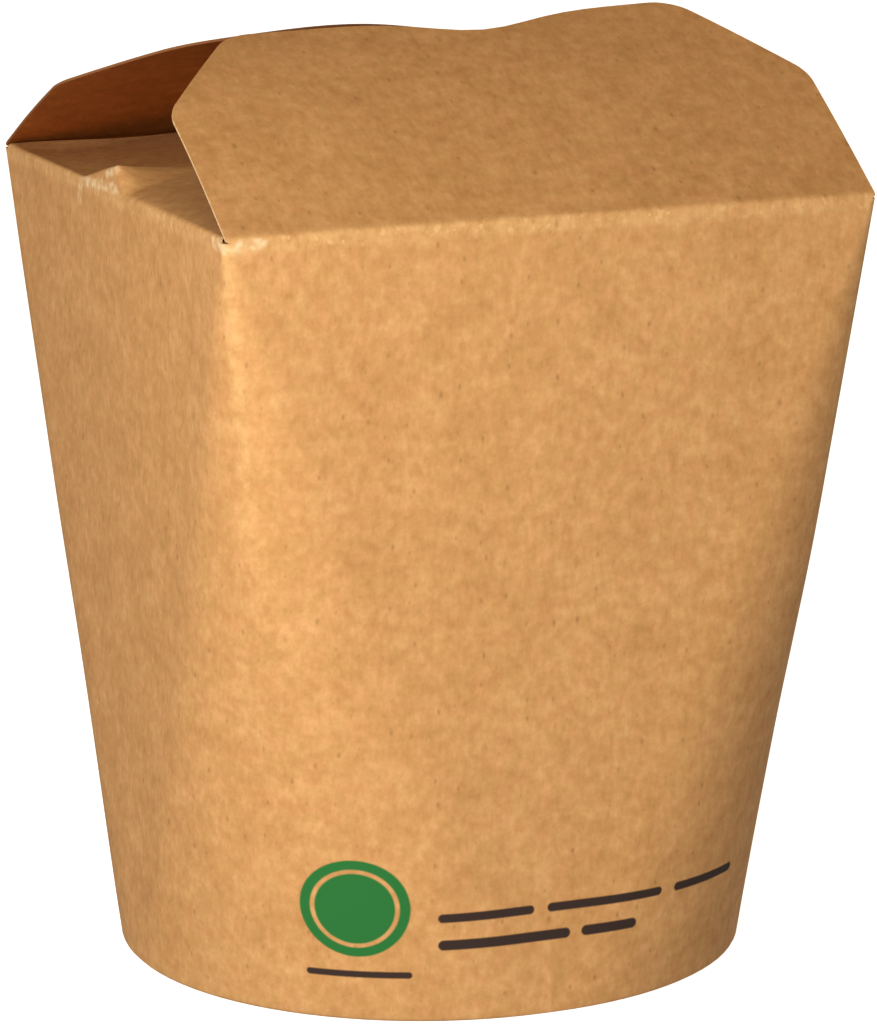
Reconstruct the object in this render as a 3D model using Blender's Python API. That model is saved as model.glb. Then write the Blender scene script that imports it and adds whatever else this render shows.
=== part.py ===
"""Noodle takeaway box of kraft board, folded shut.

Metres, +Z up. The origin is the middle of the ring that the box stands on, and
the front panel faces -Y. The folded blank, walls and four top flaps, is one
solid, filled where the shut box hides its inside. The base disc is the other.
"""

import math

import bmesh
import bpy
from mathutils import Matrix, Vector

MM = 0.001
DEG = math.pi / 180.0

# Driving dimensions of the walls: a round base that grows into a square rim
BASE_RADIUS = 45.0 * MM
RIM_SIDE = 95.6 * MM
RIM_HEIGHT = 112.5 * MM
BASE_FLAT = 1.0 * MM
RIM_CORNER_RADIUS = 0.8 * MM
BOARD = 0.5 * MM
GAP = 0.3 * MM

# Creases down the four corners: how far each turns, and where it fades out
CREASE_TURNS = {
    "front_right": 14.0 * DEG,
    "back_right": 14.0 * DEG,
    "back_left": 14.0 * DEG,
    "front_left": 22.0 * DEG,
}
CREASE_FADE_FROM = 0.62
CREASE_FADE_TO = 0.30
ARC_STEPS = 7
WALL_LEVELS = 12

# Base: a disc set up inside the bottom ring
RING_WIDTH = 1.6 * MM
RECESS_DEPTH = 6.5 * MM
DISC_SIDES = 72

# Outline that every top flap is cut to, as distances from its fold
SHOULDER_LENGTH = 26.3 * MM
SHOULDER_ROUNDING = 1.6 * MM
CROWN_HALF_WIDTH = 33.4 * MM
CROWN_ROUNDING = 1.6 * MM
CROWN_STEPS = 16
FOLD_LENGTH = 1.2 * MM
ROOT_LENGTH = 1.6 * MM
ROOT_INSET = 0.06 * MM
BEND_STEP = 3.2 * MM
TWIST_STEP = 12.0 * MM
WALK_STEP = 0.4 * MM

# Front flap: steeper and higher on its right, with a shallow dip in its edge
FRONT_HALF_WIDTH = 47.6 * MM
FRONT_LENGTH = 44.5 * MM
FRONT_DIP = 3.8 * MM
FRONT_DIP_PLACE = 3.0 * MM
FRONT_DIP_SPREAD = 10.5 * MM
FRONT_FOLD_SLOPE = 34.8 * DEG
FRONT_LEFT_TIP_SLOPE = 18.2 * DEG
FRONT_RIGHT_TIP_SLOPE = 28.3 * DEG

# Back flap: nearly the same cut, lower, and with an S in its edge
BACK_SHOULDER_HALF_WIDTH = 46.8 * MM
BACK_LENGTH = 44.0 * MM
BACK_WAVE = 5.0 * MM
BACK_FOLD_SLOPE = 28.6 * DEG
BACK_TIP_SLOPE = 16.5 * DEG
BACK_CROWN_LIFT = 1.35 * MM

# Side flaps: folded in first and low, tapered so that the other two clear them, and
# the left one long enough to lie over the right one's edge
SIDE_HALF_WIDTH = 46.0 * MM
SIDE_SHOULDER_HALF_WIDTH = 37.5 * MM
SIDE_CROWN_HALF_WIDTH = 27.0 * MM
LEFT_LENGTH = 53.0 * MM
LEFT_SLOPE = 4.2 * DEG
RIGHT_LENGTH = 46.6 * MM
RIGHT_SLOPE = 3.0 * DEG
SIDE_SOFT_RISE = 2.0 * MM
SIDE_SOFT_REACH = 3.5 * MM


def clear_scene():
    for thing in list(bpy.data.objects):
        bpy.data.objects.remove(thing, do_unlink=True)


def make_material(name, colour, roughness):
    material = bpy.data.materials.new(name)
    material.use_nodes = True
    shader = material.node_tree.nodes["Principled BSDF"]
    shader.inputs["Base Color"].default_value = (*colour, 1.0)
    shader.inputs["Roughness"].default_value = roughness
    shader.inputs["Metallic"].default_value = 0.0
    return material


def make_object(name, bm, material=None):
    mesh = bpy.data.meshes.new(name)
    bm.to_mesh(mesh)
    bm.free()
    thing = bpy.data.objects.new(name, mesh)
    bpy.context.scene.collection.objects.link(thing)
    if material is None:
        thing.hide_render = True
        thing.display_type = "WIRE"
    else:
        mesh.materials.append(material)
        mesh.shade_smooth()
        mesh.set_sharp_from_angle(angle=30.0 * DEG)
    return thing


def add_boolean(target, tool, operation):
    modifier = target.modifiers.new(tool.name, "BOOLEAN")
    modifier.operation = operation
    modifier.object = tool


def smooth_step(low, high, value):
    share = min(1.0, max(0.0, (value - low) / (high - low)))
    return share * share * (3.0 - 2.0 * share)


def wall_outline(share):
    """Outline of the walls at a share of the rim's height, counter-clockwise.

    Each corner is a cone that shrinks to the rim's sharp corner. Part of its
    turn is in the crease, and the rest is in the round board on both sides.
    """
    side = BASE_RADIUS + (RIM_SIDE / 2 - BASE_RADIUS) * share
    flat = BASE_FLAT + (RIM_SIDE / 2 - RIM_CORNER_RADIUS - BASE_FLAT) * share
    fade = smooth_step(CREASE_FADE_TO, CREASE_FADE_FROM, share)
    points = []
    for number, turn in enumerate(CREASE_TURNS.values()):
        half_turn = (math.pi / 2 - turn * fade) / 2
        reach = math.sin(half_turn) + 1.0 - math.cos(half_turn)
        radius = (side - flat) / reach
        angles = [half_turn * step / ARC_STEPS for step in range(ARC_STEPS + 1)]
        arc = [(flat + radius * math.sin(a), side - radius * (1.0 - math.cos(a))) for a in angles]
        corner = [(along, -out) for along, out in arc]
        corner += [(out, -along) for along, out in reversed(arc[:-1])]
        spin = Matrix.Rotation(number * math.pi / 2, 2)
        points += [spin @ Vector(point) for point in corner]
    return points


def build_walls():
    """Walls with their filled inside: the base outline extruded level by level."""
    bm = bmesh.new()
    bottom = bm.faces.new([bm.verts.new((x, y, 0.0)) for x, y in wall_outline(0.0)])
    top = bottom
    for level in range(1, WALL_LEVELS + 1):
        share = level / WALL_LEVELS
        below = top
        grown = bmesh.ops.extrude_face_region(bm, geom=[below])
        top = next(part for part in grown["geom"] if isinstance(part, bmesh.types.BMFace))
        if below is not bottom:
            bmesh.ops.delete(bm, geom=[below], context="FACES_ONLY")
        for loop, (x, y) in zip(top.loops, wall_outline(share)):
            loop.vert.co = (x, y, RIM_HEIGHT * share)
    bmesh.ops.recalc_face_normals(bm, faces=bm.faces)
    return bm


def build_recess():
    """What the raised base disc leaves open under the box, and the disc's own room."""
    depth = RECESS_DEPTH + BOARD + GAP
    bm = bmesh.new()
    bmesh.ops.create_cone(
        bm, cap_ends=True, segments=DISC_SIDES, depth=2 * depth,
        radius1=BASE_RADIUS - RING_WIDTH, radius2=BASE_RADIUS - RING_WIDTH,
    )
    return bm


def build_disc():
    radius = BASE_RADIUS - RING_WIDTH - GAP
    bm = bmesh.new()
    bmesh.ops.create_cone(
        bm, cap_ends=True, segments=DISC_SIDES, depth=BOARD, radius1=radius, radius2=radius,
    )
    bmesh.ops.translate(bm, verts=bm.verts, vec=(0.0, 0.0, RECESS_DEPTH + BOARD / 2))
    return bm


def cut_flap(half_width, shoulder_half_width, crown_half_width, crown_length):
    """A flap as cut, flat: across its fold along X, away from it along Y."""
    steps = range(CROWN_STEPS + 1)
    crown = [crown_half_width * (1.0 - 2.0 * step / CROWN_STEPS) for step in steps]
    outline = [(-half_width, -ROOT_LENGTH), (half_width, -ROOT_LENGTH), (half_width, 0.0)]
    outline += [(shoulder_half_width, SHOULDER_LENGTH)]
    outline += [(across, crown_length(across)) for across in crown]
    outline += [(-shoulder_half_width, SHOULDER_LENGTH), (-half_width, 0.0)]
    bm = bmesh.new()
    corners = [bm.verts.new((x, y, 0.0)) for x, y in outline]
    bm.faces.new(corners)
    roundings = {
        SHOULDER_ROUNDING: [corners[3], corners[-2]],
        CROWN_ROUNDING: [corners[4], corners[4 + CROWN_STEPS]],
    }
    for rounding, chosen in roundings.items():
        bmesh.ops.bevel(
            bm, geom=chosen, offset=rounding, offset_type="OFFSET", affect="VERTICES",
            segments=3, profile=0.5, material=-1,
        )
    return bm


def slice_flap(bm, axis, places):
    """Cuts the flat flap across, so that it can bend along these lines."""
    for place in places:
        point = [0.0, 0.0, 0.0]
        normal = [0.0, 0.0, 0.0]
        point[axis] = place
        normal[axis] = 1.0
        geom = list(bm.verts) + list(bm.edges) + list(bm.faces)
        bmesh.ops.bisect_plane(bm, geom=geom, dist=1e-6, plane_co=point, plane_no=normal)


def walk_profile(length, slope_at):
    """Run and rise of a flap that leaves the wall upright and bends over the fold."""
    run = 0.0
    rise = min(length, 0.0)
    gone = 0.0
    heading = math.pi / 2
    while gone < length:
        step = min(WALK_STEP, length - gone)
        middle = gone + step / 2
        bent = smooth_step(0.0, FOLD_LENGTH, middle)
        heading = math.pi / 2 + (slope_at(middle) - math.pi / 2) * bent
        run += step * math.cos(heading)
        rise += step * math.sin(heading)
        gone += step
    return run, rise, heading


def fold_flap(bm, quarter_turns, slope_at, lift_at, filled=False):
    """Gives the flat flap its thickness and folds it over its side of the rim.

    A filled flap has no underside of its own: it goes down into the filled box.
    """
    places = [FOLD_LENGTH * part / 3 for part in range(4)]
    longest = max(vert.co.y for vert in bm.verts)
    widest = max(vert.co.x for vert in bm.verts)
    places += [FOLD_LENGTH + BEND_STEP * step for step in range(1, int(longest / BEND_STEP) + 1)]
    slice_flap(bm, 1, [place for place in places if place < longest])
    count = int(widest / TWIST_STEP)
    slice_flap(bm, 0, [TWIST_STEP * step for step in range(-count, count + 1)])
    bmesh.ops.triangulate(bm, faces=bm.faces)
    outer = list(bm.verts)
    grown = bmesh.ops.extrude_face_region(bm, geom=list(bm.faces))
    inner = [part for part in grown["geom"] if isinstance(part, bmesh.types.BMVert)]
    turn = Matrix.Rotation(quarter_turns * math.pi / 2, 3, "Z")
    for verts, depth in ((outer, 0.0), (inner, BOARD)):
        for vert in verts:
            across, length = vert.co.x, vert.co.y
            run, rise, heading = walk_profile(length, lambda gone: slope_at(across, gone))
            rise += lift_at(across, length)
            y = -RIM_SIDE / 2 + ROOT_INSET + run + depth * math.sin(heading)
            z = RIM_HEIGHT + rise - depth * math.cos(heading)
            if filled and depth > 0.0:
                y = -RIM_SIDE / 2 + ROOT_INSET + run
                z = RIM_HEIGHT - ROOT_LENGTH
            vert.co = turn @ Vector((across, y, z))
    bmesh.ops.remove_doubles(bm, verts=bm.verts, dist=1e-7)
    bmesh.ops.recalc_face_normals(bm, faces=bm.faces)
    return bm


def bend_share(length, tip):
    share = max(0.0, length) / tip
    return share * share


def build_front_flap():
    def crown(across):
        dip = math.exp(-(((across - FRONT_DIP_PLACE) / FRONT_DIP_SPREAD) ** 2))
        return FRONT_LENGTH - FRONT_DIP * dip

    def slope(across, length):
        right = 0.5 + 0.5 * across / FRONT_HALF_WIDTH
        tip = FRONT_LEFT_TIP_SLOPE + (FRONT_RIGHT_TIP_SLOPE - FRONT_LEFT_TIP_SLOPE) * right
        return FRONT_FOLD_SLOPE + (tip - FRONT_FOLD_SLOPE) * bend_share(length, FRONT_LENGTH)

    bm = cut_flap(FRONT_HALF_WIDTH, FRONT_HALF_WIDTH, CROWN_HALF_WIDTH, crown)
    return fold_flap(bm, 0, slope, lambda across, length: 0.0)


def build_back_flap():
    def crown(across):
        return BACK_LENGTH + BACK_WAVE * math.sin(math.pi * across / CROWN_HALF_WIDTH)

    def slope(across, length):
        drop = (BACK_TIP_SLOPE - BACK_FOLD_SLOPE) * bend_share(length, BACK_LENGTH)
        return BACK_FOLD_SLOPE + drop

    def lift(across, length):
        middle = (1.0 - (across / FRONT_HALF_WIDTH) ** 2) ** 2
        return BACK_CROWN_LIFT * middle * bend_share(length, BACK_LENGTH)

    bm = cut_flap(FRONT_HALF_WIDTH, BACK_SHOULDER_HALF_WIDTH, CROWN_HALF_WIDTH, crown)
    return fold_flap(bm, 2, slope, lift)


def build_side_flap(quarter_turns, flap_length, flap_slope):
    def slope(across, length):
        middle = 1.0 - (across / SIDE_HALF_WIDTH) ** 2
        soft = SIDE_SOFT_RISE / SIDE_SOFT_REACH * math.exp(-length / SIDE_SOFT_REACH)
        return flap_slope + math.atan(soft * max(0.0, middle))

    bm = cut_flap(
        SIDE_HALF_WIDTH, SIDE_SHOULDER_HALF_WIDTH, SIDE_CROWN_HALF_WIDTH,
        lambda across: flap_length,
    )
    return fold_flap(bm, quarter_turns, slope, lambda across, length: 0.0, filled=True)


clear_scene()
kraft = make_material("kraft_board", (0.49, 0.25, 0.08), 0.8)
kraft_base = make_material("kraft_base_board", (0.46, 0.23, 0.08), 0.8)
box = make_object("folded_box", build_walls(), kraft)
for name, bm in (
    ("left_flap", build_side_flap(3, LEFT_LENGTH, LEFT_SLOPE)),
    ("right_flap", build_side_flap(1, RIGHT_LENGTH, RIGHT_SLOPE)),
    ("front_flap", build_front_flap()),
    ("back_flap", build_back_flap()),
):
    add_boolean(box, make_object(name, bm), "UNION")
add_boolean(box, make_object("base_recess", build_recess()), "DIFFERENCE")
make_object("base_disc", build_disc(), kraft_base)
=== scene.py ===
"""Noodle takeaway box of kraft board, folded shut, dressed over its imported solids.

Metres, +Z up. The origin is the middle of the ring that the box stands on, and the
printed front panel faces -Y.
"""

import math

import bmesh
import bpy
from mathutils import Matrix, Vector, noise


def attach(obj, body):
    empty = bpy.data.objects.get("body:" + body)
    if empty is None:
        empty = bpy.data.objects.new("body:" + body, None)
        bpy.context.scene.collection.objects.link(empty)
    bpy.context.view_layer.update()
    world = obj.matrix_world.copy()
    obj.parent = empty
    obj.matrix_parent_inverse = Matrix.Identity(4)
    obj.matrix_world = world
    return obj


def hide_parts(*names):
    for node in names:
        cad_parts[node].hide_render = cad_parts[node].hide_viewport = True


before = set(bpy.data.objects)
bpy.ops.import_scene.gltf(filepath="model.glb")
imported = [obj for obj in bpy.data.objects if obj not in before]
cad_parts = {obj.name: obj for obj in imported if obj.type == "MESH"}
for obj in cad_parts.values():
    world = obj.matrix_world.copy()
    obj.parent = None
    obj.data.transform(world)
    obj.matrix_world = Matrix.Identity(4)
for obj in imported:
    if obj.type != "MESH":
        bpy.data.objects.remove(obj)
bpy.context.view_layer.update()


# The folded blank
# One sheet of kraft board, cut flat with its four flaps, printed, rolled round the base
# disc and glued up one corner. Its round lower edge is turned under as a hem, the corners
# are creased from the rim down, and the flaps are folded over the top.
MM = 0.001
DEG = math.pi / 180.0
BOARD = 0.38 * MM

BASE_RADIUS = 45.0 * MM
RIM_SIDE = 95.6 * MM
RIM_HEIGHT = 112.5 * MM
BASE_FLAT = 1.0 * MM
RIM_CORNER_RADIUS = 0.8 * MM
RIM_FLAT = RIM_SIDE / 2 - RIM_CORNER_RADIUS
CREASE_TURNS = {
    "front_right": 14.0 * DEG,
    "back_right": 14.0 * DEG,
    "back_left": 14.0 * DEG,
    "front_left": 22.0 * DEG,
}
CREASE_FADE_FROM = 0.62
CREASE_FADE_TO = 0.30
ARC_STEPS = 12
FLAT_STEPS = 60

# Profile of the hem, from its raw edge up inside the base to the foot of the wall
HEM_PROFILE = [
    (43.42 * MM, 6.2 * MM),
    (43.42 * MM, 4.0 * MM),
    (43.42 * MM, 1.8 * MM),
    (43.46 * MM, 0.6 * MM),
    (43.70 * MM, 0.16 * MM),
    (44.15 * MM, 0.0),
    (44.60 * MM, 0.04 * MM),
    (44.90 * MM, 0.22 * MM),
]
HEM_OUTER_RADIUS = 44.5 * MM
WALL_HEIGHTS = [0.6 * MM, 1.5 * MM]
WALL_HEIGHTS += [step * 3.0 * MM for step in range(1, 36)]
WALL_HEIGHTS += [RIM_HEIGHT - below * MM for below in (5.5, 4.0, 3.0, 2.2, 1.5, 1.0, 0.5, 0.0)]

# Soft waves that handling leaves in the wall, and how far they stay from its edges
WALL_WAVE = 0.16 * MM
WALL_WAVE_SPACING = 34.0 * MM
WAVE_FREE_FOOT = 8.0 * MM
WAVE_FREE_RIM = 14.0 * MM

# Flaps: the outline every flap is cut to, as distances from its fold
SIDE_ROOT_HALF = 46.0 * MM
SHOULDER_LENGTH = 26.3 * MM
SHOULDER_ROUNDING = 2.0 * MM
CROWN_HALF_WIDTH = 33.4 * MM
CROWN_ROUNDING = 3.2 * MM
CROWN_STEPS = 20
ROUNDING_STEPS = 5
CORNER_RELIEF = 0.4 * MM
FOLD_LENGTH = 1.2 * MM
WALK_STEP = 0.2 * MM
FINE_ROW_STEP = 0.3 * MM
FINE_ROWS = 16
ROW_STEP = 2.0 * MM
FLAP_WAVE = 0.22 * MM
FLAP_WAVE_SPACING = 24.0 * MM
FLAP_WAVE_SHIFT = 70.0 * MM
WAVE_FREE_FOLD = 12.0 * MM

FRONT_HALF_WIDTH = 47.6 * MM
FRONT_LENGTH = 44.5 * MM
FRONT_DIP = 3.8 * MM
FRONT_DIP_PLACE = 3.0 * MM
FRONT_DIP_SPREAD = 10.5 * MM
FRONT_FOLD_SLOPE = 34.8 * DEG
FRONT_LEFT_TIP_SLOPE = 18.2 * DEG
FRONT_RIGHT_TIP_SLOPE = 28.3 * DEG

BACK_SHOULDER_HALF_WIDTH = 46.8 * MM
BACK_LENGTH = 44.0 * MM
BACK_WAVE = 5.0 * MM
BACK_FOLD_SLOPE = 28.6 * DEG
BACK_TIP_SLOPE = 16.5 * DEG
BACK_CROWN_LIFT = 1.35 * MM

SIDE_SHOULDER_HALF_WIDTH = 37.5 * MM
SIDE_CROWN_HALF_WIDTH = 27.0 * MM
LEFT_LENGTH = 53.0 * MM
LEFT_SLOPE = 4.2 * DEG
RIGHT_LENGTH = 46.6 * MM
RIGHT_SLOPE = 3.0 * DEG
SIDE_SOFT_RISE = 2.0 * MM
SIDE_SOFT_REACH = 3.5 * MM

# Buckle in the left fold: a small tent of board, beside the rim's middle, that stays
# upright past the fold line before it turns over, and sinks back further in
BUCKLE_PEAK = 3.0 * MM
BUCKLE_LONG_SIDE = 14.5 * MM
BUCKLE_SHORT_SIDE = 4.5 * MM
BUCKLE_RISE = 3.6 * MM
BUCKLE_SINK_REACH = 9.0 * MM

# Behind the buckle the flap hollows along its fold, and then rises to its tip
HOLLOW_DEPTH = 3.0 * MM
HOLLOW_REACH = 7.0 * MM
HOLLOW_END_REACH = 25.0 * MM
HOLLOW_FROM = 3.0 * MM
HOLLOW_FULL = -14.0 * MM
HOLLOW_FREE_CORNER = 8.0 * MM
WELD_REACH = 0.01 * MM
SHARP_ANGLE = 38.0 * DEG


def smooth_step(low, high, value):
    share = min(1.0, max(0.0, (value - low) / (high - low)))
    return share * share * (3.0 - 2.0 * share)


def wall_ring(share):
    """The wall's outline at a share of the rim's height, from the front panel's left, counter-clockwise."""
    side = BASE_RADIUS + (RIM_SIDE / 2 - BASE_RADIUS) * share
    flat = BASE_FLAT + (RIM_FLAT - BASE_FLAT) * share
    fade = smooth_step(CREASE_FADE_TO, CREASE_FADE_FROM, share)
    inner = SIDE_ROOT_HALF / RIM_FLAT
    places = [-1.0] + [inner * (2.0 * step / FLAT_STEPS - 1.0) for step in range(FLAT_STEPS + 1)] + [1.0]
    points = []
    for number, turn in enumerate(CREASE_TURNS.values()):
        half_turn = (math.pi / 2 - turn * fade) / 2
        reach = math.sin(half_turn) + 1.0 - math.cos(half_turn)
        radius = (side - flat) / reach
        angles = [half_turn * step / ARC_STEPS for step in range(1, ARC_STEPS + 1)]
        arc = [(flat + radius * math.sin(a), side - radius * (1.0 - math.cos(a))) for a in angles]
        panel = [(flat * place, -side) for place in places]
        panel += [(along, -out) for along, out in arc]
        panel += [(out, -along) for along, out in reversed(arc[:-1])]
        spin = Matrix.Rotation(number * math.pi / 2, 2)
        points += [spin @ Vector(point) for point in panel]
    return points


# Columns of the wall run from its foot to its rim. The blank ends at the seam, which is
# in the middle of the back right corner.
COLUMNS = len(wall_ring(0.0))
PANEL_COLUMNS = COLUMNS // 4
PANEL_MIDDLE = (FLAT_STEPS + 2) // 2
SEAM_COLUMN = 2 * PANEL_COLUMNS - ARC_STEPS
BLANK_UNIT = 100.0 * MM


def third_corner(start, end, from_start, from_end, side):
    """Last corner of a flat triangle, from its first edge and its distances to that edge's ends."""
    edge = end - start
    along = (from_start ** 2 - from_end ** 2 + edge.length_squared) / (2.0 * edge.length)
    off = math.sqrt(max(0.0, from_start ** 2 - along ** 2))
    direction = edge.normalized()
    return start + direction * along + Vector((direction.y, -direction.x)) * (off * side)


def unroll_wall():
    """Foot and rim of each column on the flat blank, laid out both ways from the front's middle.

    The board's grain runs straight across the blank, so it turns with the rolled corners.
    The seam's column has a place on each side.
    """
    foot = [Vector((*point, 0.0)) for point in wall_ring(0.0)]
    rim = [Vector((*point, RIM_HEIGHT)) for point in wall_ring(1.0)]
    flat = {}
    for side in (1, -1):
        column = PANEL_MIDDLE
        low = Vector((0.0, 0.0))
        high = Vector((0.0, (rim[column] - foot[column]).length))
        flat[column, side] = (low, high)
        while column != SEAM_COLUMN:
            here = column
            column = (column + side) % COLUMNS
            low = third_corner(
                low, high, (foot[column] - foot[here]).length, (foot[column] - rim[here]).length, side,
            )
            high = third_corner(
                low, high, (rim[column] - foot[column]).length, (rim[column] - rim[here]).length, side,
            )
            flat[column, side] = (low, high)
    return flat


BLANK = unroll_wall()


def blank_place(column, side, height):
    """Where a point of the wall lies on the flat blank, in units of 100 mm."""
    low, high = BLANK[column, side]
    return (low + (high - low) * (height / RIM_HEIGHT)) / BLANK_UNIT


def grown_from(vert, fresh):
    """The new vertex that an extrusion grew from this one."""
    partners = [edge.other_vert(vert) for edge in vert.link_edges]
    return next(partner for partner in partners if partner in fresh)


def raise_ring(bm, ring, points, height):
    """Extrudes the ring of vertices to the next outline, and returns the new ring."""
    edges = [bm.edges.get((ring[number - 1], ring[number])) for number in range(len(ring))]
    grown = bmesh.ops.extrude_edge_only(bm, edges=edges)["geom"]
    fresh = {part for part in grown if isinstance(part, bmesh.types.BMVert)}
    above = [grown_from(vert, fresh) for vert in ring]
    for vert, point in zip(above, points):
        vert.co = (point.x, point.y, height)
    return above


def wave_wall(point, height):
    """Moves a wall point out or in a little, as handled board does."""
    strength = smooth_step(0.0, WAVE_FREE_FOOT, height)
    strength *= smooth_step(0.0, WAVE_FREE_RIM, RIM_HEIGHT - height)
    place = Vector((point.x, point.y, height)) / WALL_WAVE_SPACING
    return point + point.normalized() * (WALL_WAVE * strength * noise.noise(place))


def build_wall():
    """The hem and the wall: a circle extruded from ring to ring up to the rim."""
    bm = bmesh.new()
    blank = bm.loops.layers.uv.new("blank")
    foot = wall_ring(0.0)
    spots = {}
    ring = bmesh.ops.create_circle(bm, segments=COLUMNS, radius=BASE_RADIUS)["verts"]
    for vert, point in zip(ring, foot):
        radius, height = HEM_PROFILE[0]
        vert.co = (point.x * radius / BASE_RADIUS, point.y * radius / BASE_RADIUS, height)
    spots.update({vert: (column, -HEM_PROFILE[0][1]) for column, vert in enumerate(ring)})
    for radius, height in HEM_PROFILE[1:]:
        points = [point * (radius / BASE_RADIUS) for point in foot]
        ring = raise_ring(bm, ring, points, height)
        flat = height if radius > HEM_OUTER_RADIUS else -height
        spots.update({vert: (column, flat) for column, vert in enumerate(ring)})
    for height in WALL_HEIGHTS:
        outline = wall_ring(height / RIM_HEIGHT)
        ring = raise_ring(bm, ring, [wave_wall(point, height) for point in outline], height)
        spots.update({vert: (column, height) for column, vert in enumerate(ring)})
    for face in bm.faces:
        columns = [spots[loop.vert][0] for loop in face.loops]
        side = 1 if min(columns) >= PANEL_MIDDLE and max(columns) <= SEAM_COLUMN else -1
        for loop in face.loops:
            column, height = spots[loop.vert]
            loop[blank].uv = blank_place(column, side, height)
    return bm


def cut_flap(root_half, half_width, shoulder_half_width, crown_half_width, crown_length):
    """A flap as cut, flat: across its fold along X, away from it along Y."""
    steps = range(CROWN_STEPS + 1)
    crown = [crown_half_width * (1.0 - 2.0 * step / CROWN_STEPS) for step in steps]
    outline = [(-root_half, 0.0), (root_half, 0.0), (half_width, CORNER_RELIEF)]
    outline += [(shoulder_half_width, SHOULDER_LENGTH)]
    outline += [(across, crown_length(across)) for across in crown]
    outline += [(-shoulder_half_width, SHOULDER_LENGTH), (-half_width, CORNER_RELIEF)]
    bm = bmesh.new()
    corners = [bm.verts.new((x, y, 0.0)) for x, y in outline]
    bm.faces.new(corners)
    roundings = {
        SHOULDER_ROUNDING: [corners[3], corners[-2]],
        CROWN_ROUNDING: [corners[4], corners[4 + CROWN_STEPS]],
    }
    for rounding, chosen in roundings.items():
        bmesh.ops.bevel(
            bm, geom=chosen, offset=rounding, offset_type="OFFSET", affect="VERTICES",
            segments=ROUNDING_STEPS, profile=0.5, material=-1,
        )
    return bm


def slice_flap(bm, axis, places):
    """Cuts the flat flap across, so that it can bend along these lines."""
    for place in places:
        point = [0.0, 0.0, 0.0]
        normal = [0.0, 0.0, 0.0]
        point[axis] = place
        normal[axis] = 1.0
        geom = list(bm.verts) + list(bm.edges) + list(bm.faces)
        bmesh.ops.bisect_plane(bm, geom=geom, dist=1e-7, plane_co=point, plane_no=normal)


def walk_profile(length, slope_at, upright):
    """Run and rise of a flap that leaves the wall upright and then bends over the fold."""
    run = 0.0
    rise = 0.0
    gone = 0.0
    while gone < length - 1e-9:
        step = min(WALK_STEP, length - gone)
        middle = gone + step / 2
        bent = smooth_step(upright, upright + FOLD_LENGTH, middle)
        heading = math.pi / 2 + (slope_at(middle) - math.pi / 2) * bent
        run += step * math.cos(heading)
        rise += step * math.sin(heading)
        gone += step
    return run, rise


def fold_flap(bm, quarter_turns, slope_at, lift_at, upright_at=lambda across: 0.0):
    """Lays the flap out on the blank for its grain, then folds it over its side of the rim."""
    blank = bm.loops.layers.uv.new("blank")
    longest = max(vert.co.y for vert in bm.verts)
    rows = [FINE_ROW_STEP * step for step in range(1, FINE_ROWS + 1)]
    rows += [rows[-1] + ROW_STEP * step for step in range(1, int(longest / ROW_STEP) + 1)]
    slice_flap(bm, 1, [place for place in rows if place < longest])
    slice_flap(bm, 0, [SIDE_ROOT_HALF * (2.0 * step / FLAT_STEPS - 1.0) for step in range(FLAT_STEPS + 1)])
    column = quarter_turns * PANEL_COLUMNS + PANEL_MIDDLE
    side = 1 if column <= SEAM_COLUMN else -1
    middle = BLANK[column, side][1]
    sideways = (BLANK[column + 1, side][1] - middle).normalized()
    outward = Vector((-sideways.y, sideways.x))
    for face in bm.faces:
        for loop in face.loops:
            spot = middle + sideways * loop.vert.co.x + outward * loop.vert.co.y
            loop[blank].uv = spot / BLANK_UNIT
    turn = Matrix.Rotation(quarter_turns * math.pi / 2, 3, "Z")
    for vert in bm.verts:
        across, length = vert.co.x, vert.co.y
        run, rise = walk_profile(length, lambda gone: slope_at(across, gone), upright_at(across))
        rise += lift_at(across, length)
        place = Vector((across, length, FLAP_WAVE_SHIFT * quarter_turns)) / FLAP_WAVE_SPACING
        rise += FLAP_WAVE * smooth_step(0.0, WAVE_FREE_FOLD, length) * noise.noise(place)
        vert.co = turn @ Vector((across, run - RIM_SIDE / 2, RIM_HEIGHT + rise))
    return bm


def bend_share(length, tip):
    """How much of its curl a flap has at a length, slow at the fold and full at its tip."""
    share = max(0.0, length) / tip
    return share * share


def build_front_flap():
    """The front flap: a dip in its crown, and more bend on its left than on its right."""
    def crown(across):
        dip = math.exp(-(((across - FRONT_DIP_PLACE) / FRONT_DIP_SPREAD) ** 2))
        return FRONT_LENGTH - FRONT_DIP * dip

    def slope(across, length):
        right = 0.5 + 0.5 * across / FRONT_HALF_WIDTH
        tip = FRONT_LEFT_TIP_SLOPE + (FRONT_RIGHT_TIP_SLOPE - FRONT_LEFT_TIP_SLOPE) * right
        return FRONT_FOLD_SLOPE + (tip - FRONT_FOLD_SLOPE) * bend_share(length, FRONT_LENGTH)

    bm = cut_flap(RIM_FLAT, FRONT_HALF_WIDTH, FRONT_HALF_WIDTH, CROWN_HALF_WIDTH, crown)
    return fold_flap(bm, 0, slope, lambda across, length: 0.0)


def build_back_flap():
    """The back flap: its crown cut in a long S, and arched a little across its middle."""
    def crown(across):
        return BACK_LENGTH + BACK_WAVE * math.sin(math.pi * across / CROWN_HALF_WIDTH)

    def slope(across, length):
        drop = (BACK_TIP_SLOPE - BACK_FOLD_SLOPE) * bend_share(length, BACK_LENGTH)
        return BACK_FOLD_SLOPE + drop

    def lift(across, length):
        middle = (1.0 - (across / FRONT_HALF_WIDTH) ** 2) ** 2
        return BACK_CROWN_LIFT * middle * bend_share(length, BACK_LENGTH)

    bm = cut_flap(RIM_FLAT, FRONT_HALF_WIDTH, BACK_SHOULDER_HALF_WIDTH, CROWN_HALF_WIDTH, crown)
    return fold_flap(bm, 2, slope, lift)


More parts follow.
